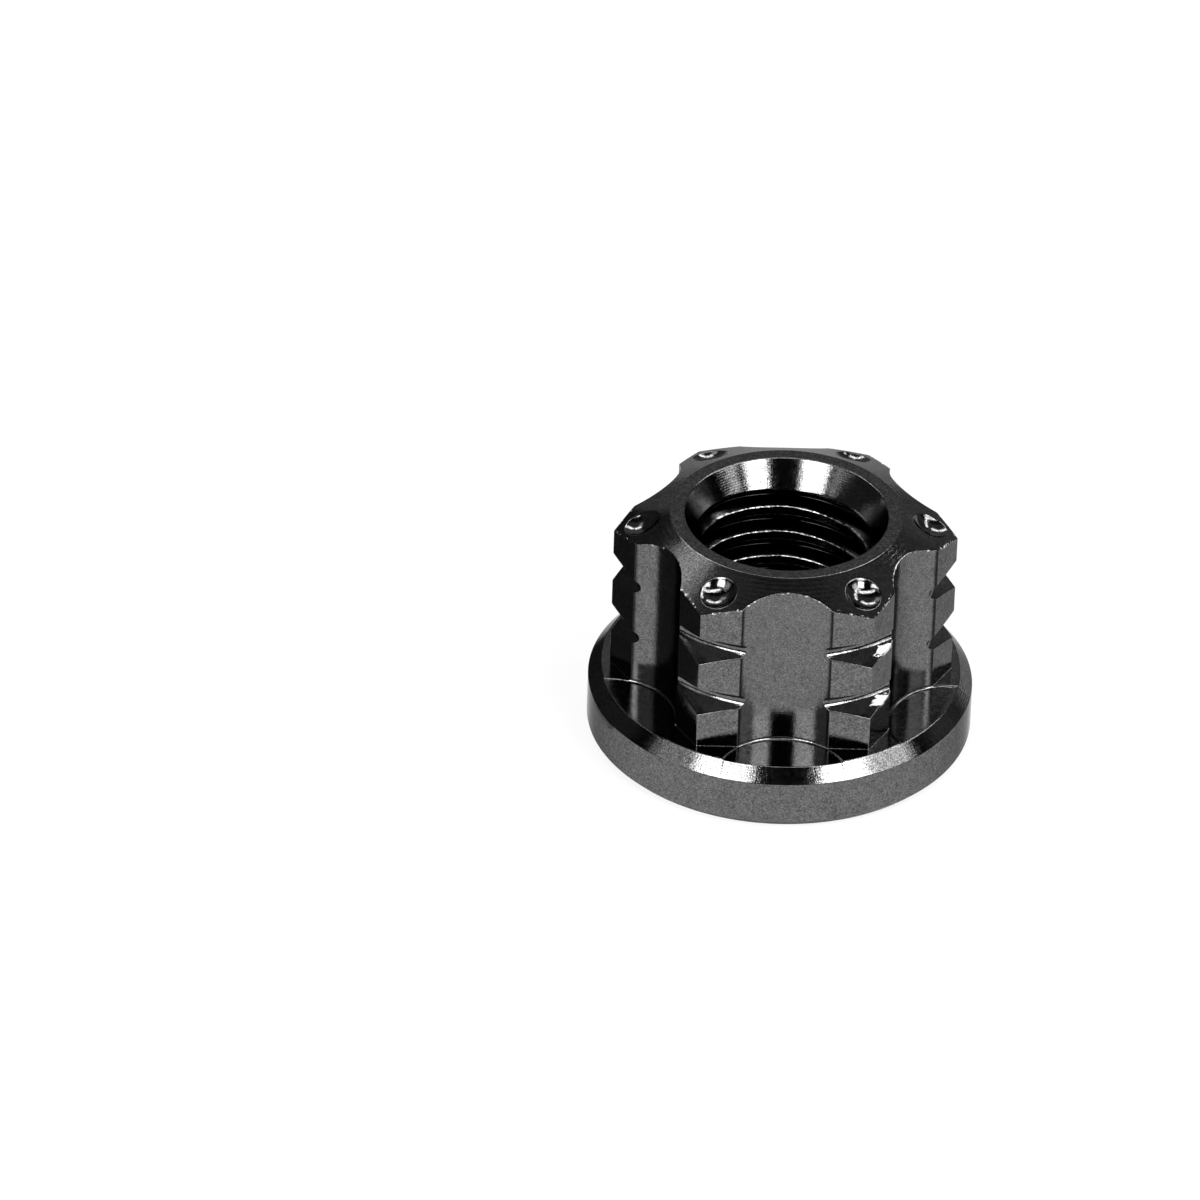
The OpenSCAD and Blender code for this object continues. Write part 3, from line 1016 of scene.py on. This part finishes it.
# %% [markdown]
# ## Soft boxes
# Two bright soft boxes stand in front of the nut, one on each side, and the room between them is dark. That
# gives the two white patches with a black gap which tell a viewer that the coating is glossy. Dimmer panels
# stand further round, one on each side and one behind, and lift the countersink's flanks and the slopes
# that look away.

# %% Soft boxes and panels
LAMP_AWAY = 0.5                 # distance of the boxes and height of the roof, in metres


def area_lamp(name, width, height, radiance, pose):
    """A rectangular lamp that the camera doesn't see. Power is radiance times pi times area. The pose is
    its matrix."""
    data = bpy.data.lights.new(name, "AREA")
    data.shape = "RECTANGLE"
    data.size, data.size_y = width, height
    data.energy = radiance * math.pi * data.size * data.size_y
    lamp = bpy.data.objects.new(name, data)
    lamp.matrix_world = pose
    lamp.visible_camera = False
    bpy.context.scene.collection.objects.link(lamp)


def soft_box(name, azimuth, elevation, width, height, radiance, lean=0.0):
    """A lamp that looks at the nut. Azimuth counts from the camera's side, positive to the right. Width
    and height are degrees as seen from the nut, and lean turns its top to the right."""
    size = [2 * LAMP_AWAY * math.tan(math.radians(v) / 2) for v in (width, height)]
    a, e = math.radians(azimuth), math.radians(elevation)
    back = Vector((math.sin(a) * math.cos(e), -math.cos(a) * math.cos(e), math.sin(e)))
    turn = back.to_track_quat("Z", "Y").to_matrix().to_4x4() @ Matrix.Rotation(-math.radians(lean), 4, "Z")
    area_lamp(name, *size, radiance, Matrix.Translation(back * LAMP_AWAY) @ turn)


soft_box("soft_box_left", -35, 37.5, 26, 23, 12.0, -12)
soft_box("soft_box_right", 40, 37.5, 22, 24, 12.0, 28)
soft_box("side_panel_left", -68, 36, 22, 30, 1.1)
soft_box("side_panel_right", 72, 38, 22, 30, 3.2)
soft_box("back_panel", -134, 52, 16, 16, 1.4)
print("light: two soft boxes and three panels")

# %% [markdown]
# ## Strips in the roof
# Each dimple is a small concave mirror that gathers what is overhead into a bright little frame. In the
# picture that frame has the shape of strips, so four strips of lamps are hung in the roof. Flat faces
# hardly show them, and the rounded edges catch them as thin lines. One broad lamp would be simpler, but
# would fill the dimples with white.

# %% Roof strips
STRIP_LIGHT = 8.0


def light_strip(name, start, end, width):
    """A strip lamp in the roof, from start to end. Both are sideways and back distances for each metre
    of height above the nut, and width is too."""
    a, b = [Vector((x * LAMP_AWAY, y * LAMP_AWAY, LAMP_AWAY)) for x, y in (start, end)]
    along = (b - a).normalized()
    middle = (a + b) / 2
    back = (middle - along * middle.dot(along)).normalized()
    turn = Matrix((along, back.cross(along), back)).transposed().to_4x4()
    area_lamp(name, (b - a).length, width * LAMP_AWAY, STRIP_LIGHT, Matrix.Translation(middle) @ turn)


light_strip("roof_strip_front", (-0.47, -0.38), (0.77, -0.18), 0.15)
light_strip("roof_strip_right", (1.10, -0.22), (0.94, 0.86), 0.18)
light_strip("roof_strip_back_left", (-0.43, 0.79), (-0.03, 0.93), 0.22)
light_strip("roof_strip_back_right", (0.03, 0.93), (0.46, 0.72), 0.22)
print("light: four strips in the roof")

# %% [markdown]
# ## Room
# Whatever isn't a lamp or the table, the nut mirrors too. The room is nearly black on the camera's side,
# and paler behind the nut, which is what the flat ring at the top and the sloping lobes reflect. Just over
# the table it is as white as the table all round. A picture of a room could be used, but two ramps of grey
# are enough here.

# %% Greys of the room
FRONT_TO_BACK = [(0.0, 0.008), (0.1, 0.02), (0.2, 0.13), (0.35, 0.15),
                 (0.55, 0.09), (0.7, 0.13), (0.83, 0.28), (1.0, 0.30)]
HORIZON = [(0.0, 1.0), (0.04, 1.0), (0.08, 0.0)]
HORIZON_GREY = 0.9


def grey_ramp(t, value, stops):
    """A map from a value between 0 and 1 to greys, straight between the stops. A stop is a value and its
    grey."""
    node = t.add("ShaderNodeValToRGB", _0=value)
    node.color_ramp.elements.remove(node.color_ramp.elements[1])
    for i, (place, grey) in enumerate(stops):
        stop = node.color_ramp.elements[0] if i == 0 else node.color_ramp.elements.new(place)
        stop.position = place
        stop.color = (grey, grey, grey, 1.0)
    return node.outputs[0]


def room():
    """The room as seen in reflections: a ramp from the camera's side to the back, and a pale strip just
    over the table, mixed in by a ramp of the height."""
    t = Tree(bpy.data.worlds.new("room"))
    way = t.add("ShaderNodeSeparateXYZ", _0=t.add("ShaderNodeTexCoord").outputs["Generated"]).outputs
    depth = grey_ramp(t, way["Y"], FRONT_TO_BACK)
    band = grey_ramp(t, way["Z"], HORIZON)
    sky = t.add("ShaderNodeBackground", Color=t.blend(band, depth, HORIZON_GREY)).outputs[0]
    t.add("ShaderNodeOutputWorld", Surface=sky)
    return t.owner


bpy.context.scene.world = room()
bpy.context.scene.view_settings.view_transform = "Standard"
print("room:", len(FRONT_TO_BACK), "greys from front to back")

# %% [markdown]
# ## Camera
# The picture was taken from far off with a long lens, 34 degrees above the table. The place of the camera
# follows from where one point of the nut sits in the picture and how many pixels a millimetre covers there.
# The picture is taken to be 1200 pixels square.

# %% Camera
FRAME_PX = 1200
TARGET_MM = np.array([0.0, 0.0, 6.0])
TARGET_PX = (782.32, 621.12)
PX_PER_MM = 19.777
DISTANCE_MM = 608.5
TILT, ROLL, TURN = (math.radians(v) for v in (33.76, 1.79, 1.01))
SENSOR_MM = 36.0

right = np.array([1.0, 0.0, 0.0])
up = np.array([0.0, math.sin(TILT), math.cos(TILT)])
back = np.array([0.0, -math.cos(TILT), math.sin(TILT)])
right, up = math.cos(ROLL) * right + math.sin(ROLL) * up, math.cos(ROLL) * up - math.sin(ROLL) * right
across, down = [(px - FRAME_PX / 2) / PX_PER_MM for px in TARGET_PX]
place = TARGET_MM + back * DISTANCE_MM - right * across + up * down
camera_data = bpy.data.cameras.new("camera")
camera_data.sensor_width = SENSOR_MM
camera_data.lens = PX_PER_MM * DISTANCE_MM * SENSOR_MM / FRAME_PX
camera_data.clip_start, camera_data.clip_end = 0.01, 20.0
camera = bpy.data.objects.new("camera", camera_data)
pose = np.eye(4)
pose[:3, :3] = np.column_stack([right, up, back])
pose[:3, 3] = place * MM
camera.matrix_world = Matrix.Rotation(-TURN, 4, "Z") @ Matrix(pose.tolist())
bpy.context.scene.collection.objects.link(camera)
bpy.context.scene.camera = camera
print(f"camera: lens {camera_data.lens:.0f} mm")
